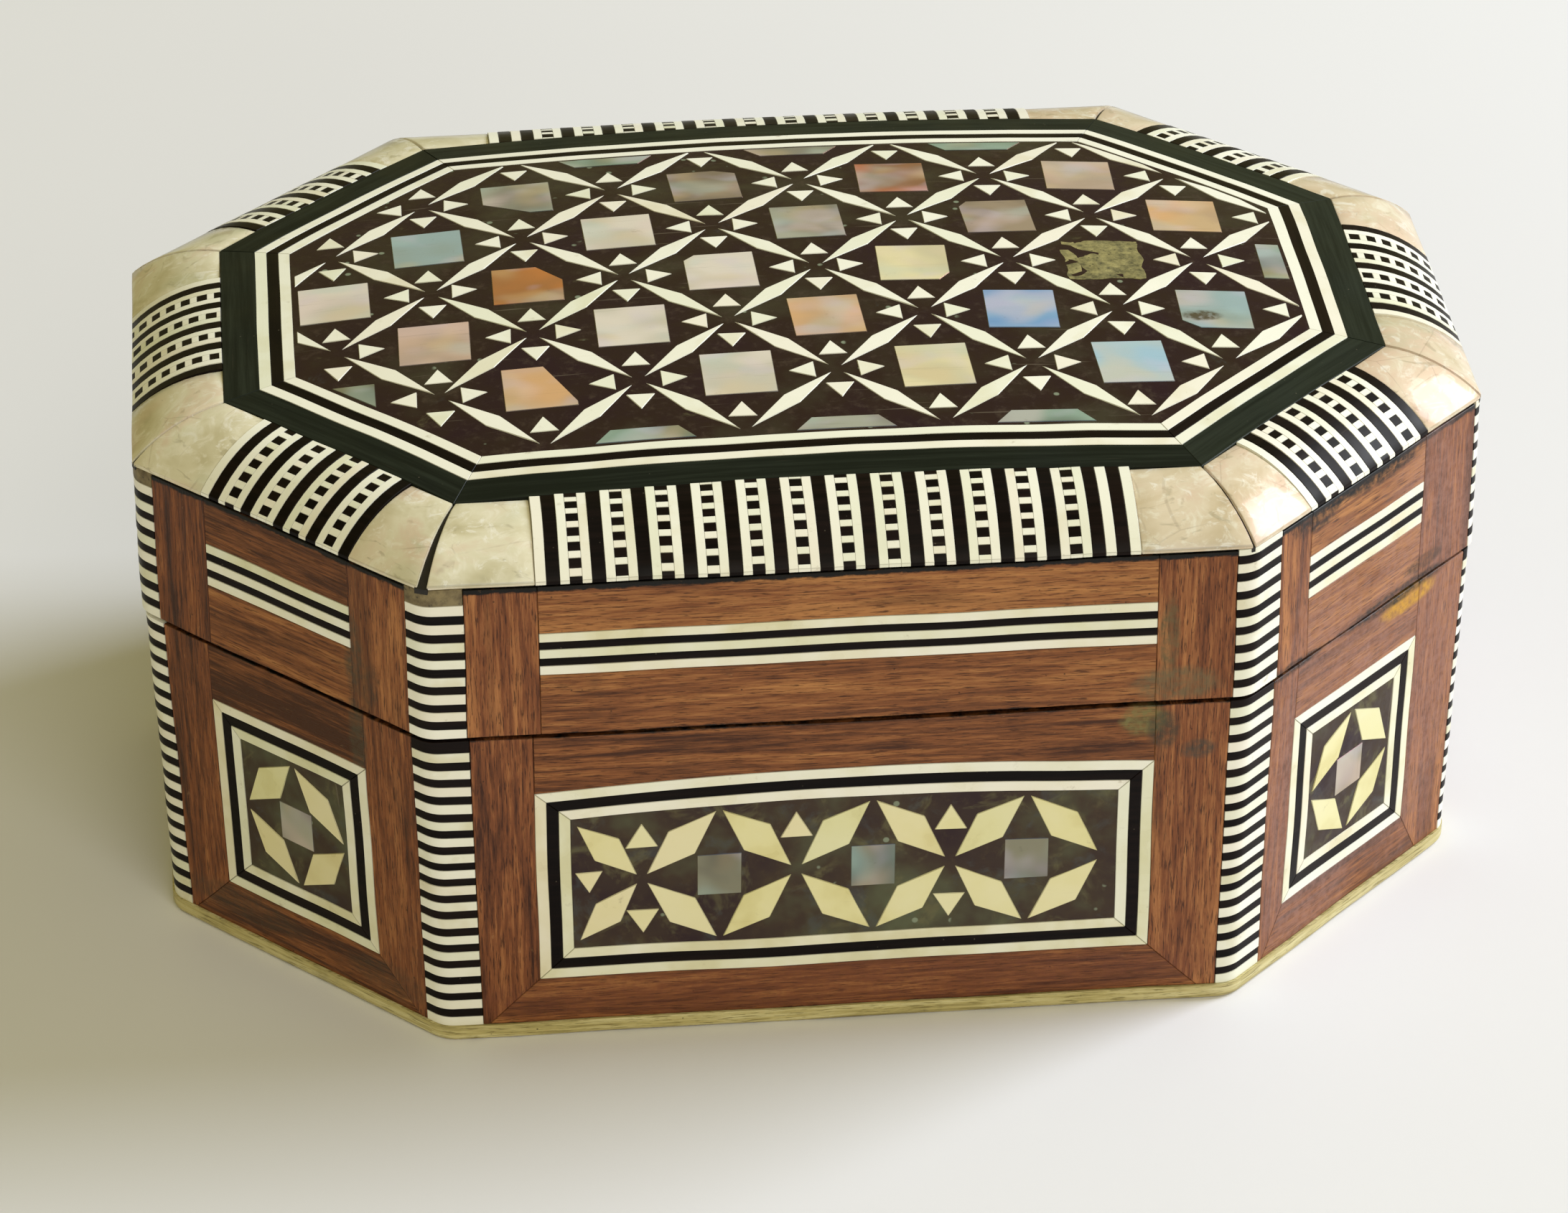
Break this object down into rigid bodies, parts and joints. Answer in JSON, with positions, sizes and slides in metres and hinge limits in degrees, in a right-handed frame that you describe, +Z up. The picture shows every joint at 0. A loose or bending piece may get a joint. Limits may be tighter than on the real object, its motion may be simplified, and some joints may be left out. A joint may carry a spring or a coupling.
{
  "type": "inlaid wooden box",
  "caption": "Eight-sided hinged wooden box with a domed lid, inlaid all over with bone, ebony and mother-of-pearl, for holding small things.",
  "frame": {"origin": "centre of the flat face that the box rests on", "axes": "+Z up out of the box's lid; +X along its long side; the front face looks towards -Y and the hinges are at +Y"},
  "size_m": [0.1396, 0.0992, 0.0628],
  "materials": {
    "carcass_wood": "bare close-grained wood, smoothed by hand",
    "board_wood": "pale bare board, dry and slightly scuffed",
    "post_laminate": "layers of bone and ebony glued edge to edge, lacquered and worn",
    "lining_velvet": "short dull velvet",
    "bone": "polished bone, ivory coloured, under old lacquer",
    "ebony": "dark close-grained wood under old lacquer",
    "dark_ground": "hard dark mastic round the inlay, lacquered and scratched",
    "mother_of_pearl": "polished shell, iridescent",
    "bevel_shell": "polished cream shell with pink and green lights",
    "rail_veneer": "reddish-brown veneer with level grain, lacquered",
    "stile_veneer": "darker reddish-brown veneer with upright grain, lacquered",
    "brass": "old dull brass",
    "ladder_inlay": "bone strip holding a column of small ebony squares, lacquered"
  },
  "bodies": {
    "base": {"base_board": "board_wood", "base_corner_posts": "post_laminate", "base_floor_lining": "lining_velvet", "base_panel_frame_bone": "bone", "base_panel_frame_ebony": "ebony", "base_panel_ground": "dark_ground", "base_panel_pearl": "mother_of_pearl", "base_panel_rhombi": "bone", "base_panel_triangles": "bone", "base_veneer_rails": "rail_veneer", "base_veneer_stiles": "stile_veneer", "base_wall_back": "carcass_wood", "base_wall_back_left": "carcass_wood", "base_wall_back_right": "carcass_wood", "base_wall_front": "carcass_wood", "base_wall_front_left": "carcass_wood", "base_wall_front_right": "carcass_wood", "base_wall_left": "carcass_wood", "base_wall_lining": "lining_velvet", "base_wall_right": "carcass_wood", "hinge_base_leaf_left": "brass", "hinge_base_leaf_right": "brass", "hinge_nails_base": "brass", "hinge_pin_left": "brass", "hinge_pin_right": "brass"},
    "lid": {"hinge_lid_leaf_left": "brass", "hinge_lid_leaf_right": "brass", "hinge_nails_lid": "brass", "lid_bevel_bone_lines": "bone", "lid_bevel_ebony_lines": "ebony", "lid_bevel_ladders": "ladder_inlay", "lid_bevel_pearl": "bevel_shell", "lid_border_ebony": "ebony", "lid_corner_posts": "post_laminate", "lid_edge_pearl": "mother_of_pearl", "lid_field_ground": "dark_ground", "lid_field_pearl": "mother_of_pearl", "lid_field_slivers": "bone", "lid_field_triangles": "bone", "lid_side_lines_bone": "bone", "lid_side_lines_ebony": "ebony", "lid_top_board": "carcass_wood", "lid_top_lines_bone": "bone", "lid_top_lines_ebony": "ebony", "lid_top_lining": "lining_velvet", "lid_veneer_rails": "rail_veneer", "lid_veneer_stiles": "stile_veneer", "lid_wall_back": "carcass_wood", "lid_wall_back_left": "carcass_wood", "lid_wall_back_right": "carcass_wood", "lid_wall_front": "carcass_wood", "lid_wall_front_left": "carcass_wood", "lid_wall_front_right": "carcass_wood", "lid_wall_left": "carcass_wood", "lid_wall_lining": "lining_velvet", "lid_wall_right": "carcass_wood"}
  },
  "joints": [
    {"name": "lid_hinge", "type": "hinge", "parent": "base", "child": "lid", "pos_m": [0, 0.0487, 0.0372], "axis": [-1, 0, 0], "range_deg": [0, 100]}
  ]
}
